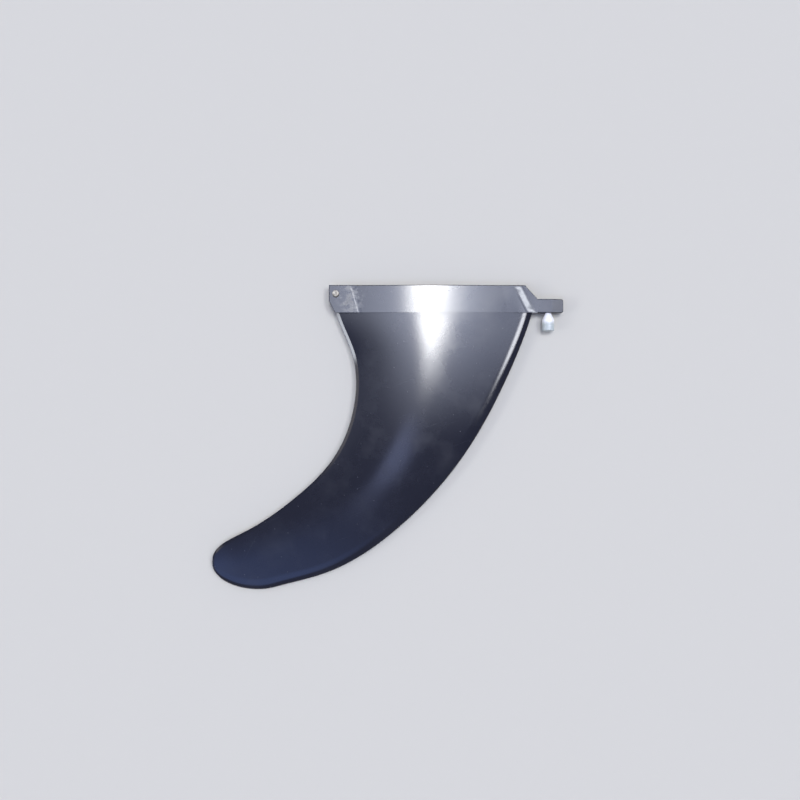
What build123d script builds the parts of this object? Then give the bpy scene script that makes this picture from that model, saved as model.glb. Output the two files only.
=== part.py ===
from build123d import *

import math
import os

# A moulded surfboard fin for a standard long fin box, lying on its side.
# X runs forward along the board, Y up into the box and Z across the fin.
# The origin is the middle of the flat edge that sits on the box floor, on the fin's mid-plane.

# Tongue, the flat foot that goes into the box
SEAT_LENGTH = 142.0
TONGUE_DEPTH = 20.0
TONGUE_THICKNESS = 9.4
REAR_SLANT_HEIGHT = 8.0
REAR_SLANT_SETBACK = 4.2
FRONT_SLANT_LENGTH = 9.0
EDGE_EASE = 0.5

# Crowned panel between the two gripping pads of the tongue
CROWN_THICKNESS = 9.4
CROWN_RADIUS = 1540.0
REAR_PAD_SEAT_LENGTH = 21.6
REAR_PAD_ROOT_LENGTH = 27.5
REAR_PAD_THICKNESS = 8.7
REAR_RAMP_LENGTH = 6.5
REAR_RAMP_DROP = 0.75
FRONT_PAD_SEAT_LENGTH = 23.0
FRONT_PAD_ROOT_LENGTH = 22.0
FRONT_PAD_THICKNESS = 7.6
FRONT_RAMP_LENGTH = 8.0
FRONT_RAMP_DROP = 0.2
LEAD_IN_START = 9.5
LEAD_IN_LENGTH = 7.5
RAMP_SOFTNESS = 0.5

# Screw tab at the front of the tongue
TAB_LENGTH = 18.8
TAB_DEPTH = 10.0
TAB_THICKNESS = 6.6
TAB_NOSE_LENGTH = 8.5
TAB_NOSE_DROP = 0.9
TAB_CORNER_RADIUS = 1.6
TAB_OVERLAP = 2.0

# Cross pin near the rear end, whose ends ride in the tracks of the box
PIN_DIAMETER = 4.8
PIN_LENGTH = 12.7
PIN_FROM_REAR = 5.0
PIN_FROM_SEAT = 6.4
PIN_EDGE_CHAMFER = 0.3
PIN_FIT_GAP = 0.02

# Fixing screw that hangs from the tab
SCREW_FROM_TAB_START = 8.1
SHANK_DIAMETER = 4.2
SHANK_FLUSH_GAP = 0.6
SHANK_FIT_GAP = 0.1
NECK_CONE_LENGTH = 4.9
HEAD_DIAMETER = 8.7
HEAD_LENGTH = 7.9
HEAD_EDGE_RADIUS = 0.5
HEAD_SEAT_GAP = 0.1
BAND_FROM_CONE = 1.4
BAND_WIDTH = 0.4
BAND_DEPTH = 0.15
SLOT_WIDTH = 1.5
SLOT_DEPTH = 2.0

# Blade, measured down from the tongue's root line
BLADE_DEPTH = 199.3
TIP_SWEEP = 89.0
ROOT_REAR_INSET = 5.0
ROOT_FRONT_INSET = 3.5
LEADING_ROOT_LEAN = (-0.30, -1.0)
TRAILING_ROOT_LEAN = (0.33, -1.0)

# Bends of each edge, as shares of its run back to the tip and of the blade's depth
LEADING_BENDS = [(0.069, 0.208), (0.212, 0.512), (0.421, 0.780), (0.654, 0.945), (0.784, 0.986)]
TRAILING_BENDS = [(-0.135, 0.153), (-0.142, 0.351), (0.011, 0.522), (0.360, 0.682)]
LEADING_TIP = [(0.853, 1.0), (0.937, 1.0), (1.0, 0.957), (1.0, 0.903)]
TRAILING_TIP = [(0.652, 0.773), (0.831, 0.820), (1.0, 0.835), (1.0, 0.903)]

# Blade section: a lens with a rounded nose and a bevelled trailing edge
ROOT_THICKNESS = 8.8
TIP_THICKNESS = 3.4
TAPER_POWER = 1.15
MAX_THICKNESS_SHARE = 0.48
NOSE_LENGTH = 8.0
NOSE_THICKNESS = 4.2
TRAILING_THICKNESS = 1.2
BEVEL_WIDTH = 2.2
BEVEL_THICKNESS = 3.0
NARROW_BEVEL_SHARE = 0.1
NARROW_NOSE_SHARE = 0.3
TIP_ROUND_SHARE = 0.9
TIP_CAP_SHARE = 0.996
SPAN_SECTIONS = 16
POINTS_PER_FACE = 14

TOLERANCE = 0.01

REAR_END = -SEAT_LENGTH / 2
FRONT_END = SEAT_LENGTH / 2
TAB_START = FRONT_END + FRONT_SLANT_LENGTH
TAB_TOP = TAB_DEPTH - TONGUE_DEPTH
ROOT_REAR = REAR_END + ROOT_REAR_INSET
ROOT_FRONT = TAB_START - ROOT_FRONT_INSET
TIP_X = ROOT_REAR - TIP_SWEEP
PIN_CENTRE = (REAR_END + PIN_FROM_REAR, -PIN_FROM_SEAT)
SCREW_X = TAB_START + SCREW_FROM_TAB_START


def prism(points, thickness):
    """A flat plate of that outline, centred on the mid-plane."""
    outline = make_face(Polyline(*points, close=True))
    return extrude(outline, thickness / 2, both=True)


def middles(corners):
    """The middles of the walls that join these corners, seen from the side."""
    return [(Vector(*start) + Vector(*end)) / 2 for start, end in zip(corners, corners[1:])]


def soft_blank(flats, lean):
    """A slab whose faces run in flats joined by soft ramps. Each flat is (start, end, half thickness).

    The flats are set out along X at the seat edge, and lean is how far they shift forward at the root line.
    """
    upper = []
    for start, end, height in flats:
        if upper:
            softness = [RAMP_SOFTNESS, RAMP_SOFTNESS]
            ends = (upper[-1] @ 1, (start, height))
            upper.append(Spline(*ends, tangents=[(1, 0), (1, 0)], tangent_scalars=softness))
        upper.append(Line((start, height), (end, height)))
    closing = Polyline(upper[-1] @ 1, (flats[-1][1], 0), (flats[0][0], 0), upper[0] @ 0)
    half = Plane.XZ * make_face(Wire([*upper, *closing.edges()]))
    run = Vector(lean, -TONGUE_DEPTH)
    blank = extrude(half, 2 * run.length, dir=run, both=True)
    return blank + mirror(blank, Plane.XY)


def eased(plate, joined):
    """Rounds the rims of a plate, apart from the walls that join its neighbours."""
    walls = [wall for wall in plate.faces() if abs(wall.normal_at().Z) < TOLERANCE]
    for middle in middles(joined):
        walls.remove(min(walls, key=lambda wall: (wall.center() - middle).length))
    rims = []
    for wall in walls:
        rims += wall.edges() - wall.edges().filter_by(Axis.Z)
    return fillet(rims, EDGE_EASE)


def crowned_panel():
    """The middle of the tongue, with faces that bulge very slightly."""
    rear = REAR_END + REAR_PAD_SEAT_LENGTH / 2
    front = FRONT_END - FRONT_PAD_SEAT_LENGTH / 2
    inside = [(rear, 0), (rear, -TONGUE_DEPTH), (front, -TONGUE_DEPTH), (front, 0)]
    panel = prism(inside, CROWN_THICKNESS)
    for side in (1, -1):
        axis_height = side * (CROWN_THICKNESS / 2 - CROWN_RADIUS)
        bulge = Rot(90, 0, 0) * Cylinder(CROWN_RADIUS, 3 * TONGUE_DEPTH)
        panel = panel & Pos(0, 0, axis_height) * bulge
    return eased(panel, inside)


def rear_pad():
    """The flat pad that grips the box at the rear, with a slanted lower corner."""
    top_inner = (REAR_END + REAR_PAD_SEAT_LENGTH, 0)
    root_inner = (REAR_END + REAR_PAD_ROOT_LENGTH, -TONGUE_DEPTH)
    root_outer = (REAR_END + REAR_SLANT_SETBACK, -TONGUE_DEPTH)
    slant_top = (REAR_END, REAR_SLANT_HEIGHT - TONGUE_DEPTH)
    outline = [(REAR_END, 0), top_inner, root_inner, root_outer, slant_top]
    full = REAR_PAD_THICKNESS / 2
    flats = [
        (REAR_END - TONGUE_DEPTH, top_inner[0] - REAR_RAMP_LENGTH, full),
        (top_inner[0], top_inner[0] + TONGUE_DEPTH, full - REAR_RAMP_DROP),
    ]
    pad = prism(outline, TONGUE_THICKNESS) & soft_blank(flats, root_inner[0] - top_inner[0])
    return eased(pad, [top_inner, root_inner, root_outer])


def front_pad():
    """The front pad, whose slanted end thins down softly to lead into the box."""
    top_inner = (FRONT_END - FRONT_PAD_SEAT_LENGTH, 0)
    root_inner = (TAB_START - FRONT_PAD_ROOT_LENGTH, -TONGUE_DEPTH)
    root_outer = (TAB_START, -TONGUE_DEPTH)
    slant_top = (FRONT_END, 0)
    slant_bottom = (TAB_START, TAB_TOP)
    outline = [top_inner, slant_top, slant_bottom, root_outer, root_inner]
    full = FRONT_PAD_THICKNESS / 2
    lead_in = FRONT_END - LEAD_IN_START
    flats = [
        (top_inner[0] - TONGUE_DEPTH, top_inner[0], full - FRONT_RAMP_DROP),
        (top_inner[0] + FRONT_RAMP_LENGTH, lead_in, full),
        (lead_in + LEAD_IN_LENGTH, TAB_START + TONGUE_DEPTH, TAB_THICKNESS / 2),
    ]
    pad = prism(outline, TONGUE_THICKNESS) & soft_blank(flats, root_inner[0] - top_inner[0])
    return eased(pad, [top_inner, root_inner, root_outer, slant_bottom])


def screw_tab():
    """The narrow tab ahead of the tongue, with a thinned nose."""
    start = TAB_START - TAB_OVERLAP
    end = TAB_START + TAB_LENGTH
    joined = [(start, TAB_TOP), (start, -TONGUE_DEPTH)]
    half = TAB_THICKNESS / 2
    flats = [
        (start - TAB_OVERLAP, end - TAB_NOSE_LENGTH, half),
        (end, end + TAB_OVERLAP, half - TAB_NOSE_DROP),
    ]
    tab = prism([*joined, (end, -TONGUE_DEPTH), (end, TAB_TOP)], TAB_THICKNESS) & soft_blank(flats, 0)
    corners = tab.edges().filter_by(Axis.Z).group_by(Axis.X)[-1]
    return eased(fillet(corners, TAB_CORNER_RADIUS), joined)


def tongue():
    """Panel, pads and tab in one, with the two holes."""
    foot = crowned_panel() + rear_pad() + front_pad() + screw_tab()
    pin_hole = Cylinder(PIN_DIAMETER / 2 + PIN_FIT_GAP, 2 * TONGUE_THICKNESS)
    foot = foot - Pos(*PIN_CENTRE, 0) * pin_hole
    screw_hole = Cylinder(SHANK_DIAMETER / 2 + SHANK_FIT_GAP, 2 * TONGUE_DEPTH)
    return foot - Pos(SCREW_X, -TONGUE_DEPTH / 2, 0) * Rot(90, 0, 0) * screw_hole


def edge_point(root_x, shares):
    """A point of the blade's outline, from shares of the run back to the tip and of the depth."""
    return (root_x + shares[0] * (TIP_X - root_x), -TONGUE_DEPTH - shares[1] * BLADE_DEPTH)


def blade_edge(root_x, root_lean, bends, tip):
    """One edge of the blade: a spline from the root, then the rounded tip."""
    tip_curve = Bezier(*[edge_point(root_x, shares) for shares in tip])
    points = [edge_point(root_x, shares) for shares in [(0, 0), *bends, tip[0]]]
    run = Spline(*points, tangents=[root_lean, tip_curve % 0])
    return Wire([run, tip_curve])


def lens_half_height(distance, chord, thickness, edge_thickness):
    """Half thickness of the lens, at a distance from the trailing edge."""
    widest = MAX_THICKNESS_SHARE * chord
    reach = widest if distance < widest else chord - widest
    fall = ((distance - widest) / reach) ** 2
    return (thickness - (thickness - edge_thickness) * fall) / 2


def nose_rounding(from_nose, nose_length):
    """How much of the lens height is left, at a distance from the leading edge."""
    share = min(from_nose / nose_length, 1.0)
    return math.sqrt(1.0 - (1.0 - share) ** 2)


def section(rear, front, thickness, scale):
    """One closed section of the blade on the chord from rear to front."""
    chord = (front - rear).length
    bevel = min(BEVEL_WIDTH, NARROW_BEVEL_SHARE * chord)
    nose = min(NOSE_LENGTH, NARROW_NOSE_SHARE * chord)
    upper = []
    for step in range(POINTS_PER_FACE):
        turn = math.pi * step / POINTS_PER_FACE
        distance = bevel + (chord - bevel) * (1 - math.cos(turn)) / 2
        behind = distance < MAX_THICKNESS_SHARE * chord
        edge_thickness = min(BEVEL_THICKNESS if behind else NOSE_THICKNESS, thickness)
        height = lens_half_height(distance, chord, thickness, edge_thickness)
        upper.append((distance, scale * height * nose_rounding(chord - distance, nose)))
    lower = [(distance, -height) for distance, height in reversed(upper)]
    over_nose = Spline(*upper, (chord, 0), *lower)
    trailing = scale * TRAILING_THICKNESS / 2
    closing = Polyline(lower[-1], (0, -trailing), (0, trailing), upper[0])
    plane = Plane(origin=rear, x_dir=front - rear, z_dir=(front - rear).cross(Vector(0, 0, 1)))
    return plane * make_face(Wire([over_nose, *closing.edges()]))


def blade():
    """The swept blade, lofted through sections that fan out from root to tip."""
    front_edge = blade_edge(ROOT_FRONT, LEADING_ROOT_LEAN, LEADING_BENDS, LEADING_TIP)
    rear_edge = blade_edge(ROOT_REAR, TRAILING_ROOT_LEAN, TRAILING_BENDS, TRAILING_TIP)
    sections = []
    for step in range(SPAN_SECTIONS + 1):
        place = TIP_CAP_SHARE * math.sin(math.pi / 2 * step / SPAN_SECTIONS)
        thickness = TIP_THICKNESS + (ROOT_THICKNESS - TIP_THICKNESS) * (1 - place) ** TAPER_POWER
        past = max(place - TIP_ROUND_SHARE, 0) / (1 - TIP_ROUND_SHARE)
        scale = math.sqrt(1 - past**2)
        sections.append(section(rear_edge @ place, front_edge @ place, thickness, scale))
    return loft(sections)


def root_stub():
    """A short block inside the tongue that the blade grows out of."""
    rear = Vector(ROOT_REAR, -TONGUE_DEPTH)
    front = Vector(ROOT_FRONT, -TONGUE_DEPTH)
    return extrude(section(rear, front, ROOT_THICKNESS, 1.0), TONGUE_DEPTH / 4, dir=(0, 1, 0))


def fin_body():
    """Tongue, tab and blade, moulded in one piece."""
    return tongue() + root_stub() + blade()


def roller_pin():
    """The plain cross pin, pressed into the tongue and standing out of both faces."""
    pin = Cylinder(PIN_DIAMETER / 2, PIN_LENGTH)
    pin = chamfer(pin.edges().filter_by(GeomType.CIRCLE), PIN_EDGE_CHAMFER)
    return Pos(*PIN_CENTRE, 0) * pin


def fixing_screw():
    """The screw in the tab: plain shank, widening neck and a slotted head."""
    seat = -TONGUE_DEPTH - HEAD_SEAT_GAP
    cone_end = seat - NECK_CONE_LENGTH
    head_end = cone_end - HEAD_LENGTH
    band_top = cone_end - BAND_FROM_CONE
    band_bottom = band_top - BAND_WIDTH
    shank = SHANK_DIAMETER / 2
    head = HEAD_DIAMETER / 2
    profile = [
        (0, TAB_TOP - SHANK_FLUSH_GAP),
        (shank, TAB_TOP - SHANK_FLUSH_GAP),
        (shank, seat),
        (head, cone_end),
        (head, band_top),
        (head - BAND_DEPTH, band_top),
        (head - BAND_DEPTH, band_bottom),
        (head, band_bottom),
        (head, head_end),
        (0, head_end),
    ]
    screw = revolve(make_face(Polyline(*profile, close=True)), Axis.Y)
    rim = screw.edges().filter_by(GeomType.CIRCLE).group_by(Axis.Y)[0]
    screw = fillet(rim, HEAD_EDGE_RADIUS)
    slot = Pos(0, head_end, 0) * Box(2 * HEAD_DIAMETER, 2 * SLOT_DEPTH, SLOT_WIDTH)
    return Pos(SCREW_X, 0, 0) * (screw - slot)


PARTS = {
    "fin_body": fin_body,
    "roller_pin": roller_pin,
    "fixing_screw": fixing_screw,
}

os.makedirs("parts", exist_ok=True)
for name, make in PARTS.items():
    export_step(make(), f"parts/{name}.step")
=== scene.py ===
import math
from bisect import bisect
from itertools import accumulate

import bmesh
import bpy
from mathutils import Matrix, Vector
from mathutils.geometry import interpolate_bezier


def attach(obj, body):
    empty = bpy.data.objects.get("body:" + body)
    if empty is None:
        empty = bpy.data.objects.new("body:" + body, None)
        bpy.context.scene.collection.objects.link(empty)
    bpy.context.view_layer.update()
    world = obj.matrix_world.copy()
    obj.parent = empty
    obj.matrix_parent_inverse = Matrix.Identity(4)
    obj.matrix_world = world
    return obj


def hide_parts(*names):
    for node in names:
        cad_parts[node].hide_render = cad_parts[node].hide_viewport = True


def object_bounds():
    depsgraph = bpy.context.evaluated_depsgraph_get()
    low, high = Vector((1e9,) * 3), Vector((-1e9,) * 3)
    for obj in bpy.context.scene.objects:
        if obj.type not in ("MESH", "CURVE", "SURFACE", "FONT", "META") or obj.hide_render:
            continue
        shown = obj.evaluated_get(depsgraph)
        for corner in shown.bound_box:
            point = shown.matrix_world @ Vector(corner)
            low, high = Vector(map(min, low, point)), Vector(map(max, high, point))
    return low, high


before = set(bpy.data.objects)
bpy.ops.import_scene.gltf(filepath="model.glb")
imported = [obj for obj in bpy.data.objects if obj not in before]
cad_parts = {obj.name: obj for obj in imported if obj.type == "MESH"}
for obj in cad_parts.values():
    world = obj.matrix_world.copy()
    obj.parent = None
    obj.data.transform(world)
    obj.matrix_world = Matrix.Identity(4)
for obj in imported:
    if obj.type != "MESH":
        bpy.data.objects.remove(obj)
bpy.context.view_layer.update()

# The fin lies on its side: X runs forward along the board, Y up into the fin box, Z towards the camera.

# Camera, nearly straight above the fin and a little towards its tongue
CAMERA_PLACE = (-0.0196, -0.1011, 0.5725)
CAMERA_TILT = math.radians(1.8)
LENS_MM = 35.55
SENSOR_MM = 36.0
NEAREST_SEEN = 0.01

# Floor
FLOOR_SIZE = 8.0
FLOOR_COLOUR = (0.585, 0.565, 0.50)
FLOOR_ROUGHNESS = 0.9

# Studio ceiling. A place on it is the run sideways and the run up the picture, for each unit of height.
# Each soft light is (place, reach, softness, colour, strength).
WALL_GLOW = 0.60
WALL_COLOUR = (1.0, 0.94, 0.84)
CEILING_GLOW = 0.24
CEILING_COLOUR = (0.90, 0.95, 1.32)
CEILING_EDGE = (0.25, 0.45)
LOWEST_RISE = 0.05
SOFT_LIGHTS = {
    "bright window": ((0.040, 0.225), (0.040, 0.129), 0.82, (1.0, 0.99, 0.96), 40.0),
    "bright streak": ((0.045, 0.107), (0.041, 0.023), 0.45, (1.0, 0.99, 0.97), 14.0),
    "streak end": ((0.039, 0.074), (0.016, 0.026), 0.60, (0.97, 0.99, 1.03), 9.0),
    "window glow": ((-0.076, 0.169), (0.223, 0.100), 0.60, (0.90, 0.97, 1.18), 2.8),
    "right glow": ((0.115, 0.187), (0.051, 0.057), 0.80, (0.93, 0.98, 1.10), 4.0),
    "window surround": ((0.187, 0.255), (0.308, 0.240), 0.42, (0.88, 0.96, 1.24), 3.6),
    "lower glow": ((0.029, 0.089), (0.116, 0.091), 0.79, (0.90, 0.96, 1.20), 1.5),
    "middle strip": ((-0.007, -0.059), (0.036, 0.041), 0.56, (0.68, 0.80, 1.35), 2.1),
    "right strip": ((0.474, 0.012), (0.134, 0.085), 0.50, (0.97, 0.99, 1.06), 19.0),
    "right corner": ((0.370, 0.275), (0.070, 0.070), 0.40, (0.96, 1.0, 1.06), 22.0),
    "far corner": ((0.56, 0.22), (0.14, 0.10), 0.50, (0.93, 0.97, 1.10), 3.0),
    "strip end": ((-0.045, -0.110), (0.030, 0.035), 0.70, (0.68, 0.80, 1.35), 0.6),
    "left window": ((-1.65, -0.42), (0.40, 0.24), 0.40, (0.92, 0.97, 1.06), 12.0),
    "left glow": ((-1.5, 0.3), (0.50, 0.50), 0.40, (1.0, 0.93, 0.86), 1.5),
    "blue corner": ((-0.35, -0.42), (0.40, 0.28), 0.40, (0.45, 0.72, 1.75), 1.0),
}

# Blade of the CAD body, in millimetres, which is drawn again here in finer rings
MM = 0.001
ROOT_LINE = -20.0
ROOT_REAR = -66.0
ROOT_FRONT = 76.5
TIP_X = -155.0
BLADE_DEPTH = 199.3
LEADING_ROOT_LEAN = (-0.30, -1.0)
TRAILING_ROOT_LEAN = (0.33, -1.0)
LEADING_BENDS = [(0.069, 0.208), (0.212, 0.512), (0.421, 0.780), (0.654, 0.945), (0.784, 0.986)]
TRAILING_BENDS = [(-0.135, 0.153), (-0.142, 0.351), (0.011, 0.522), (0.360, 0.682)]
LEADING_TIP = [(0.853, 1.0), (0.937, 1.0), (1.0, 0.957), (1.0, 0.903)]
TRAILING_TIP = [(0.652, 0.773), (0.831, 0.820), (1.0, 0.835), (1.0, 0.903)]
ROOT_THICKNESS = 8.8
TIP_THICKNESS = 3.4
TAPER_POWER = 1.15
MAX_THICKNESS_SHARE = 0.48
NOSE_LENGTH = 8.0
NOSE_THICKNESS = 4.2
TRAILING_THICKNESS = 1.2
BEVEL_WIDTH = 2.2
BEVEL_THICKNESS = 3.0
NARROW_BEVEL_SHARE = 0.1
NARROW_NOSE_SHARE = 0.3
TIP_ROUND_SHARE = 0.9
TIP_CAP_SHARE = 0.996
BLADE_RINGS = 110
EDGE_STEPS = 40
SPLINE_SWEEPS = 40
RIM_SPACING = 1.6
NOSE_SPACING = 0.22
NOSE_ZONE = 2.5

# Joining of the skin. Points closer than the gap, in metres, are one, and edges past the angle stay sharp.
MERGE_GAP = 0.000002
CREASE_ANGLE = math.radians(20)

# Shading of the foot. Between these two places, in metres, the front pad is shaded as if it leaned forward a
# little, as the panel beside it does. Only faces that look almost straight along Z are the pad's own.
CAD_SHADING = "cad shading"
FRONT_PAD_START = 0.050
FRONT_PAD_END = 0.070
FRONT_PAD_LEAN = 0.02
BROAD_LEAN = 0.99

# Black plastic of the fin. The shades say how far each kind of wear passes to the colour of dust.
# Black plastic with a slight blue tint that is a painted reflection of blue sky
BLACK_AND_PAINTED_SKY_TINT = (0.010, 0.011, 0.019)
DUST_COLOUR = (0.11, 0.115, 0.125)
PLASTIC_ROUGHNESS = 0.09
WEAR_DULLING = 0.4
SMUDGE_SCALE = 30.0
SMUDGE_SHADE = 0.05
SMUDGE_DULLING = 0.05
DUST_SCALE = 420.0
DUST_SHADE = 0.45
RIPPLE_SCALE = 380.0
RIPPLE_HEIGHT = 0.000006

# Scratches that run two ways: (turn, length, width, share of the face)
SCRATCH_RUNS = [(1.1, 0.10, 0.0009, 0.29), (0.35, 0.07, 0.0007, 0.28)]
SCRATCH_SHADE = 0.08
SCRATCH_DEPTH = 0.4

# Scuffed patch on the rear pad of the tongue, in metres
SCUFF_PLACE = (-0.0555, -0.0098)
SCUFF_REACH = (0.0085, 0.0085)
SCUFF_SOFTNESS = 0.5
SCUFF_SCALE = 300.0
SCUFF_SHADE = 0.6

# White nylon of the screw, white on its neck, with painted shade that greys its head as if less light fell on
# it
NYLON_WHITE = (0.93, 0.93, 0.94)
PAINTED_SHADE_NYLON = (0.48, 0.53, 0.52)
PAINTED_SHADE_START = -0.0255
PAINTED_SHADE_END = -0.0285
PAINTED_SHADE_WANDER = 0.003
NYLON_ROUGHNESS = 0.3
NYLON_CLOUD_SCALE = 500.0
NYLON_CLOUD_DULLING = 0.2
NYLON_GRAIN_SCALE = 1800.0
NYLON_GRAIN_HEIGHT = 0.00001

# Metal of the cross pin
PIN_METAL = (0.34, 0.32, 0.28)
TARNISHED_METAL = (0.20, 0.18, 0.15)
PIN_ROUGHNESS = 0.45
TARNISH_SCALE = 700.0
TARNISH_DULLING = 0.2
PIN_GRAIN_SCALE = 2500.0
PIN_GRAIN_HEIGHT = 0.00002


def shader_node(tree, kind, inputs=None, **settings):
    """Adds a node to a shader tree, with its settings and the values of its inputs."""
    node = tree.nodes.new(kind)
    for name, value in settings.items():
        setattr(node, name, value)
    for name, value in (inputs or {}).items():
        if isinstance(value, bpy.types.NodeSocket):
            tree.links.new(value, node.inputs[name])
        else:
            node.inputs[name].default_value = value
    return node


def maths(tree, operation, first, second=0.0):
    """The result of one Math node."""
    return shader_node(tree, "ShaderNodeMath", {0: first, 1: second}, operation=operation).outputs[0]


def ramp_down(tree, value, full, none):
    """One where the value is below full, falling smoothly to nothing at none."""
    inputs = {"Value": value, "From Min": full, "From Max": none, "To Min": 1.0, "To Max": 0.0}
    return shader_node(tree, "ShaderNodeMapRange", inputs, interpolation_type="SMOOTHSTEP").outputs[0]


def add_camera():
    """The camera at the photograph's viewing angle."""
    camera = bpy.data.cameras.new("camera")
    camera.lens = LENS_MM
    camera.sensor_width = SENSOR_MM
    camera.clip_start = NEAREST_SEEN
    stand = bpy.data.objects.new("camera", camera)
    stand.location = CAMERA_PLACE
    stand.rotation_euler = (CAMERA_TILT, 0, 0)
    bpy.context.collection.objects.link(stand)
    bpy.context.scene.camera = stand


def oval_cover(tree, run, place, reach, softness):
    """How far a place lies inside one soft oval."""
    shares = []
    for axis in range(2):
        share = maths(tree, "DIVIDE", maths(tree, "SUBTRACT", run[axis], place[axis]), reach[axis])
        shares.append(maths(tree, "MULTIPLY", share, share))
    away = maths(tree, "SQRT", maths(tree, "ADD", *shares))
    return ramp_down(tree, away, 1 - softness, 1 + softness)


def glow(tree, cover, colour, strength):
    """A background of that colour and strength, as far as the cover lets it show."""
    inputs = {"Color": (*colour, 1.0), "Strength": maths(tree, "MULTIPLY", cover, strength)}
    return shader_node(tree, "ShaderNodeBackground", inputs).outputs[0]


def light_studio():
    """Pale walls round a dim ceiling that holds the soft light panels."""
    world = bpy.data.worlds.new("studio")
    world.use_nodes = True
    bpy.context.scene.world = world
    tree = world.node_tree
    tree.nodes.clear()
    direction = shader_node(tree, "ShaderNodeTexCoord").outputs["Generated"]
    x, y, z = shader_node(tree, "ShaderNodeSeparateXYZ", {0: direction}).outputs
    height = maths(tree, "MAXIMUM", z, LOWEST_RISE)
    run = (maths(tree, "DIVIDE", x, height), maths(tree, "DIVIDE", y, height))
    wall = ramp_down(tree, z, *CEILING_EDGE)
    ceiling = maths(tree, "SUBTRACT", 1.0, wall)
    total = glow(tree, wall, WALL_COLOUR, WALL_GLOW)
    lights = [glow(tree, ceiling, CEILING_COLOUR, CEILING_GLOW)]
    for place, reach, softness, colour, strength in SOFT_LIGHTS.values():
        cover = maths(tree, "MULTIPLY", ceiling, oval_cover(tree, run, place, reach, softness))
        lights.append(glow(tree, cover, colour, strength))
    for light in lights:
        total = shader_node(tree, "ShaderNodeAddShader", {0: total, 1: light}).outputs[0]
    shader_node(tree, "ShaderNodeOutputWorld", {"Surface": total})


def new_material(name, **inputs):
    """A material with one Principled shader, given back with its tree and the shader."""
    material = bpy.data.materials.new(name)
    material.use_nodes = True
    tree = material.node_tree
    tree.nodes.clear()
    settings = {name.replace("_", " "): value for name, value in inputs.items()}
    shader = shader_node(tree, "ShaderNodeBsdfPrincipled", settings)
    shader_node(tree, "ShaderNodeOutputMaterial", {"Surface": shader.outputs[0]})
    return material, tree, shader


def add_floor():
    """The plain pale floor that the fin lies on."""
    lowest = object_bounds()[0][2]
    sheet = bmesh.new()
    bmesh.ops.create_grid(sheet, x_segments=1, y_segments=1, size=FLOOR_SIZE / 2)
    bmesh.ops.translate(sheet, verts=sheet.verts, vec=(0, 0, lowest))
    mesh = bpy.data.meshes.new("floor")
    sheet.to_mesh(mesh)
    sheet.free()
    floor = bpy.data.objects.new("floor", mesh)
    bpy.context.collection.objects.link(floor)
    colour = (*FLOOR_COLOUR, 1.0)
    material, tree, shader = new_material("floor", Base_Color=colour, Roughness=FLOOR_ROUGHNESS)
    mesh.materials.append(material)


def carry(value, from_scale, to_scale):
    """Carries a value from one rising scale over to another, step by step."""
    index = min(max(bisect(from_scale, value), 1), len(from_scale) - 1)
    low, high = from_scale[index - 1], from_scale[index]
    return to_scale[index - 1] + (to_scale[index] - to_scale[index - 1]) * ((value - low) / (high - low))


def end_slope(points, lean):
    """The slope at the first point of a run, along its lean and as steep as its first points ask."""
    first, second = [(end - start).length for start, end in zip(points, points[1:3])]
    ahead, beyond = (points[1] - points[0]) / first, (points[2] - points[1]) / second
    speed = ahead - (beyond - ahead) * first / (first + second)
    return lean * (abs(speed.x) + abs(speed.y)) / (abs(lean.x) + abs(lean.y))


def smooth_run(points, start_lean, end_lean):
    """A fine line along the smoothest curve through these points, with its lean at both ends."""
    gaps = [(end - start).length for start, end in zip(points, points[1:])]
    chords = [(end - start) / gap for start, end, gap in zip(points, points[1:], gaps)]
    slopes = [end_slope(points, start_lean), *chords[1:], end_slope(points[::-1], end_lean)]
    for sweep in range(SPLINE_SWEEPS):
        for index in range(1, len(gaps)):
            before, after = 1 / gaps[index - 1], 1 / gaps[index]
            pull = 3 * (chords[index - 1] * before + chords[index] * after)
            pull -= slopes[index - 1] * before + slopes[index + 1] * after
            slopes[index] = pull / (2 * (before + after))
    line = []
    for index, gap in enumerate(gaps):
        start, end = points[index : index + 2]
        handles = (start + slopes[index] * gap / 3, end - slopes[index + 1] * gap / 3)
        line += interpolate_bezier(start, *handles, end, EDGE_STEPS)[:-1]
    return line


def blade_edge(root_x, root_lean, bends, tip):
    """One edge of the blade as a fine line from its root to its tip."""
    points = []
    for run, depth in [(0, 0), *bends, *tip]:
        points.append(Vector((root_x + run * (TIP_X - root_x), ROOT_LINE - depth * BLADE_DEPTH)))
    run, curve = points[: len(bends) + 2], points[len(bends) + 1 :]
    return smooth_run(run, Vector(root_lean), curve[1] - curve[0]) + interpolate_bezier(*curve, EDGE_STEPS)


def zone_ends(chord):
    """Where the bevel, the middle and the rounded nose of a section start and end."""
    bevel = min(BEVEL_WIDTH, NARROW_BEVEL_SHARE * chord)
    return [0.0, bevel, chord - min(NOSE_LENGTH, NARROW_NOSE_SHARE * chord), chord]


def half_height(distance, chord, thickness):
    """Half thickness of a blade section, at a distance from its trailing edge."""
    start, bevel, nose, end = zone_ends(chord)
    if distance < bevel:
        return carry(distance, [start, bevel], [TRAILING_THICKNESS / 2, half_height(bevel, chord, thickness)])
    widest = MAX_THICKNESS_SHARE * chord
    behind = distance < widest
    edge = min(BEVEL_THICKNESS if behind else NOSE_THICKNESS, thickness)
    fall = ((distance - widest) / (widest if behind else chord - widest)) ** 2
    into_nose = max(distance - nose, 0) / (end - nose)
    return (thickness - (thickness - edge) * fall) / 2 * math.sqrt(max(1 - into_nose**2, 0))


def refine_rim(shell, rim):
    """Cuts the long edges of the rim where the blade leaves the tongue."""
    for edge in rim:
        front = max(vertex.co.x for vertex in edge.verts)
        spacing = NOSE_SPACING if front > (ROOT_FRONT - NOSE_ZONE) * MM else RIM_SPACING
        cuts = int(edge.calc_length() / (spacing * MM))
        if cuts:
            bmesh.ops.bisect_edges(shell, edges=[edge], cuts=cuts)


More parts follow.
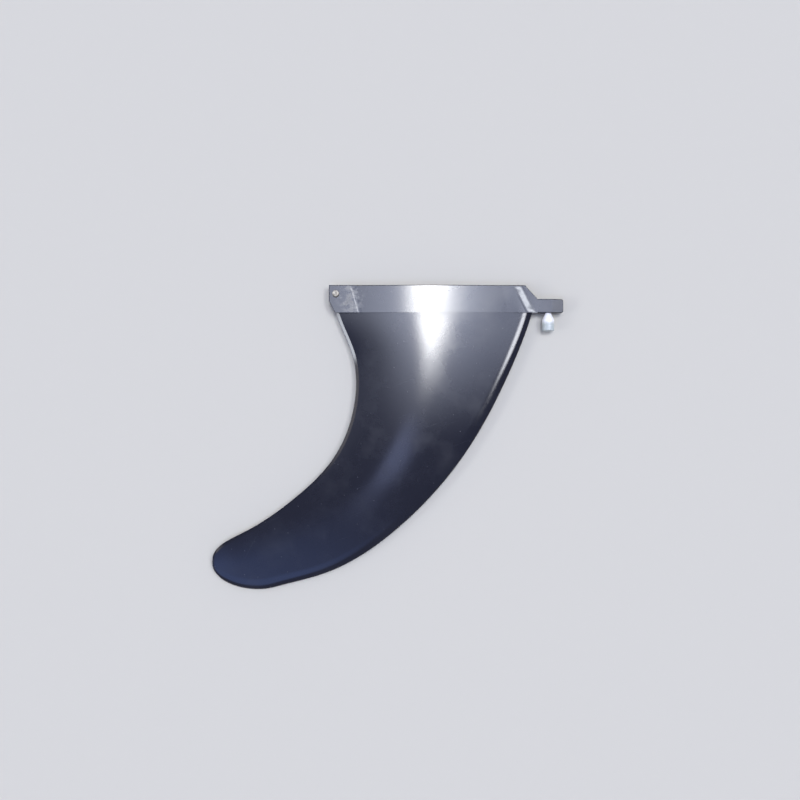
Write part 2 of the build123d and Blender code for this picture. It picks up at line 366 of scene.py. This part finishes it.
def draw_blade(shell, rim):
    """Grows the blade from its rim on the tongue, ring by ring, and closes its tip."""
    rear_edge = blade_edge(ROOT_REAR, TRAILING_ROOT_LEAN, TRAILING_BENDS, TRAILING_TIP)
    front_edge = blade_edge(ROOT_FRONT, LEADING_ROOT_LEAN, LEADING_BENDS, LEADING_TIP)
    reached = []
    for line in (rear_edge, front_edge):
        steps = [(end - start).length for start, end in zip(line, line[1:])]
        reached.append(list(accumulate(steps, initial=0.0)))
    from_rear = shell.verts.layers.float.new("from rear")
    side = shell.verts.layers.float.new("side")
    for vertex in {vertex for edge in rim for vertex in edge.verts}:
        vertex[from_rear] = vertex.co.x / MM - ROOT_REAR
        vertex[side] = math.copysign(1.0, vertex.co.z)
    root_ends = zone_ends(ROOT_FRONT - ROOT_REAR)
    for step in range(BLADE_RINGS + 1):
        place = TIP_CAP_SHARE * math.sin(math.pi / 2 * step / BLADE_RINGS)
        rear = carry(place * reached[0][-1], reached[0], rear_edge)
        chord = carry(place * reached[1][-1], reached[1], front_edge) - rear
        ends = zone_ends(chord.length)
        thickness = TIP_THICKNESS + (ROOT_THICKNESS - TIP_THICKNESS) * (1 - place) ** TAPER_POWER
        past = max(place - TIP_ROUND_SHARE, 0) / (1 - TIP_ROUND_SHARE)
        for vertex in {vertex for edge in rim for vertex in edge.verts}:
            distance = carry(vertex[from_rear], root_ends, ends)
            height = math.sqrt(1 - past**2) * half_height(distance, chord.length, thickness)
            spot = rear + chord * (distance / chord.length)
            vertex.co = (spot.x * MM, spot.y * MM, vertex[side] * height * MM)
        if step < BLADE_RINGS:
            made = bmesh.ops.extrude_edge_only(shell, edges=rim)["geom"]
            rim = [part for part in made if isinstance(part, bmesh.types.BMEdge) and part.is_boundary]
    bmesh.ops.edgeloop_fill(shell, edges=rim)
    shell.verts.layers.float.remove(shell.verts.layers.float["from rear"])
    shell.verts.layers.float.remove(shell.verts.layers.float["side"])


def cad_copy(name):
    """A copy of a CAD node's mesh that remembers the shading direction of each corner."""
    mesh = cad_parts[name].data.copy()
    kept = mesh.attributes.new(CAD_SHADING, "FLOAT_VECTOR", "CORNER")
    for corner, shading in zip(mesh.corner_normals, kept.data):
        shading.vector = corner.vector
    return mesh


def shade_foot_as_cad(mesh):
    """Gives the faces above the root line the shading of the CAD body, apart from the front pad's lean."""
    shading = [corner.vector.copy() for corner in mesh.corner_normals]
    kept = mesh.attributes[CAD_SHADING]
    for face in mesh.polygons:
        if face.center.y > ROOT_LINE * MM - MERGE_GAP:
            for corner, vertex in zip(face.loop_indices, face.vertices):
                lean = kept.data[corner].vector.copy()
                on_pad = FRONT_PAD_START < mesh.vertices[vertex].co.x < FRONT_PAD_END
                if on_pad and abs(lean.z) > BROAD_LEAN:
                    lean.x = max(lean.x, FRONT_PAD_LEAN)
                shading[corner] = lean
    mesh.attributes.remove(kept)
    mesh.normals_split_custom_set(shading)


def fin_skin(material):
    """The moulded fin body: the CAD tongue and tab with the blade drawn finely, as one closed skin."""
    shell = bmesh.new()
    shell.from_mesh(cad_copy("fin_body"))
    bmesh.ops.remove_doubles(shell, verts=shell.verts, dist=MERGE_GAP)
    blade = [face for face in shell.faces if face.calc_center_median().y < ROOT_LINE * MM - MERGE_GAP]
    bmesh.ops.delete(shell, geom=blade, context="FACES")
    refine_rim(shell, [edge for edge in shell.edges if edge.is_boundary])
    draw_blade(shell, [edge for edge in shell.edges if edge.is_boundary])
    bmesh.ops.recalc_face_normals(shell, faces=shell.faces)
    for face in shell.faces:
        face.smooth = True
    for edge in shell.edges:
        edge.smooth = edge.calc_face_angle(0.0) < CREASE_ANGLE
    mesh = bpy.data.meshes.new("fin body")
    shell.to_mesh(mesh)
    shell.free()
    shade_foot_as_cad(mesh)
    mesh.materials.append(material)
    piece = bpy.data.objects.new("fin_body_skin", mesh)
    bpy.context.collection.objects.link(piece)
    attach(piece, "root")
    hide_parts("fin_body")


def object_place(tree):
    """The place on the piece, in metres."""
    return shader_node(tree, "ShaderNodeTexCoord").outputs["Object"]


def stretched_place(tree, turn, length, width):
    """The place counted in strips of that length and width, turned about Z."""
    inputs = {"Vector": object_place(tree), "Rotation": (0, 0, turn), "Scale": (length, width, length)}
    return shader_node(tree, "ShaderNodeMapping", inputs, vector_type="TEXTURE").outputs[0]


def noise(tree, place, scale, detail=2.0, roughness=0.5):
    """A cloudy pattern from nothing to one."""
    inputs = {"Vector": place, "Scale": scale, "Detail": detail, "Roughness": roughness}
    return shader_node(tree, "ShaderNodeTexNoise", inputs).outputs[0]


def ramp_up(tree, value, none, full):
    """Nothing where the value is below none, rising smoothly to one at full."""
    inputs = {"Value": value, "From Min": none, "From Max": full}
    return shader_node(tree, "ShaderNodeMapRange", inputs, interpolation_type="SMOOTHSTEP").outputs[0]


def scratches(tree, turn, length, width, share):
    """Thin straight scratches that run one way, broken up along their length."""
    streaks = noise(tree, stretched_place(tree, turn, length, width), scale=1.0, detail=1.0)
    gaps = noise(tree, stretched_place(tree, turn, length / 2, length / 4), scale=1.0)
    thin = ramp_up(tree, streaks, none=1 - share, full=1 - share + 0.03)
    return maths(tree, "MULTIPLY", thin, ramp_up(tree, gaps, none=0.50, full=0.62))


def dust(tree):
    """Tiny specks of dust, scattered thinly."""
    inputs = {"Vector": object_place(tree), "Scale": DUST_SCALE}
    cells = shader_node(tree, "ShaderNodeTexVoronoi", inputs)
    lot = shader_node(tree, "ShaderNodeSeparateXYZ", {0: cells.outputs["Color"]}).outputs[0]
    speck = ramp_down(tree, cells.outputs["Distance"], full=0.06, none=0.16)
    return maths(tree, "MULTIPLY", speck, ramp_up(tree, lot, none=0.90, full=0.92))


def blend_colours(tree, share, first, second):
    """The first colour where the share is nothing, passing to the second where it is one."""
    mix = shader_node(tree, "ShaderNodeMix", {"Factor": share}, data_type="RGBA")
    mix.inputs["A"].default_value = (*first, 1.0)
    mix.inputs["B"].default_value = (*second, 1.0)
    return mix.outputs["Result"]


def bump(tree, shader, height, distance):
    """Gives the shader a fine relief of that height."""
    inputs = {"Height": height, "Distance": distance, "Strength": 1.0}
    tree.links.new(shader_node(tree, "ShaderNodeBump", inputs).outputs[0], shader.inputs["Normal"])


def scuffs(tree):
    """Mottled scuffing on the rear pad, strongest in the middle of the patch."""
    x, y, z = shader_node(tree, "ShaderNodeSeparateXYZ", {0: object_place(tree)}).outputs
    cover = oval_cover(tree, (x, y), SCUFF_PLACE, SCUFF_REACH, SCUFF_SOFTNESS)
    cloud = noise(tree, object_place(tree), SCUFF_SCALE, detail=4.0, roughness=0.6)
    return maths(tree, "MULTIPLY", cover, ramp_up(tree, cloud, none=0.42, full=0.66))


def black_plastic():
    """Glossy black moulded plastic with smudges, fine scratches, a scuffed pad and dust."""
    material, tree, shader = new_material("glossy black plastic")
    cloud = noise(tree, object_place(tree), SMUDGE_SCALE, detail=6.0, roughness=0.65)
    smudges = ramp_up(tree, cloud, none=0.45, full=0.75)
    lines = 0.0
    for run in SCRATCH_RUNS:
        lines = maths(tree, "MAXIMUM", lines, scratches(tree, *run))
    pale = maths(tree, "MULTIPLY", dust(tree), DUST_SHADE)
    for wear, shade in ((lines, SCRATCH_SHADE), (smudges, SMUDGE_SHADE), (scuffs(tree), SCUFF_SHADE)):
        pale = maths(tree, "MAXIMUM", pale, maths(tree, "MULTIPLY", wear, shade))
    tree.links.new(blend_colours(tree, pale, BLACK_AND_PAINTED_SKY_TINT, DUST_COLOUR), shader.inputs["Base Color"])
    roughness = PLASTIC_ROUGHNESS
    for wear, dulling in ((smudges, SMUDGE_DULLING), (pale, WEAR_DULLING)):
        roughness = maths(tree, "ADD", roughness, maths(tree, "MULTIPLY", wear, dulling))
    tree.links.new(roughness, shader.inputs["Roughness"])
    ripple = noise(tree, object_place(tree), RIPPLE_SCALE, detail=4.0, roughness=0.65)
    relief = maths(tree, "SUBTRACT", ripple, maths(tree, "MULTIPLY", lines, SCRATCH_DEPTH))
    bump(tree, shader, relief, RIPPLE_HEIGHT)
    return material


def worn_pin_metal():
    """Dull brownish metal, tarnished in patches."""
    material, tree, shader = new_material("worn pin metal", Metallic=1.0)
    cloud = noise(tree, object_place(tree), TARNISH_SCALE, detail=4.0, roughness=0.6)
    tarnish = ramp_up(tree, cloud, none=0.38, full=0.68)
    tree.links.new(blend_colours(tree, tarnish, PIN_METAL, TARNISHED_METAL), shader.inputs["Base Color"])
    roughness = maths(tree, "ADD", maths(tree, "MULTIPLY", tarnish, TARNISH_DULLING), PIN_ROUGHNESS)
    tree.links.new(roughness, shader.inputs["Roughness"])
    bump(tree, shader, noise(tree, object_place(tree), PIN_GRAIN_SCALE, detail=3.0), PIN_GRAIN_HEIGHT)
    return material


def white_nylon():
    """Satin white nylon, with painted shade that greys it towards the head, as if less light fell there."""
    material, tree, shader = new_material("white nylon")
    y = shader_node(tree, "ShaderNodeSeparateXYZ", {0: object_place(tree)}).outputs[1]
    cloud = noise(tree, object_place(tree), NYLON_CLOUD_SCALE, detail=4.0, roughness=0.6)
    wander = maths(tree, "MULTIPLY", maths(tree, "SUBTRACT", cloud, 0.5), PAINTED_SHADE_WANDER)
    # Painted shade: the head end of the screw is greyed and mottled, standing in for less light falling on it
    # than on the neck.
    painted_shade = ramp_down(tree, maths(tree, "ADD", y, wander), full=PAINTED_SHADE_END, none=PAINTED_SHADE_START)
    painted_shade = maths(tree, "MULTIPLY", painted_shade, ramp_up(tree, cloud, none=0.1, full=0.5))
    tree.links.new(blend_colours(tree, painted_shade, NYLON_WHITE, PAINTED_SHADE_NYLON), shader.inputs["Base Color"])
    roughness = maths(tree, "ADD", maths(tree, "MULTIPLY", cloud, NYLON_CLOUD_DULLING), NYLON_ROUGHNESS)
    tree.links.new(roughness, shader.inputs["Roughness"])
    bump(tree, shader, noise(tree, object_place(tree), NYLON_GRAIN_SCALE, detail=3.0), NYLON_GRAIN_HEIGHT)
    return material


def finish_node(name, material):
    """Gives a CAD node its finish."""
    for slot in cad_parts[name].material_slots:
        slot.material = material


add_camera()
add_floor()
light_studio()
fin_skin(black_plastic())
finish_node("roller_pin", worn_pin_metal())
finish_node("fixing_screw", white_nylon())

bpy.context.scene.view_settings.view_transform = "Standard"
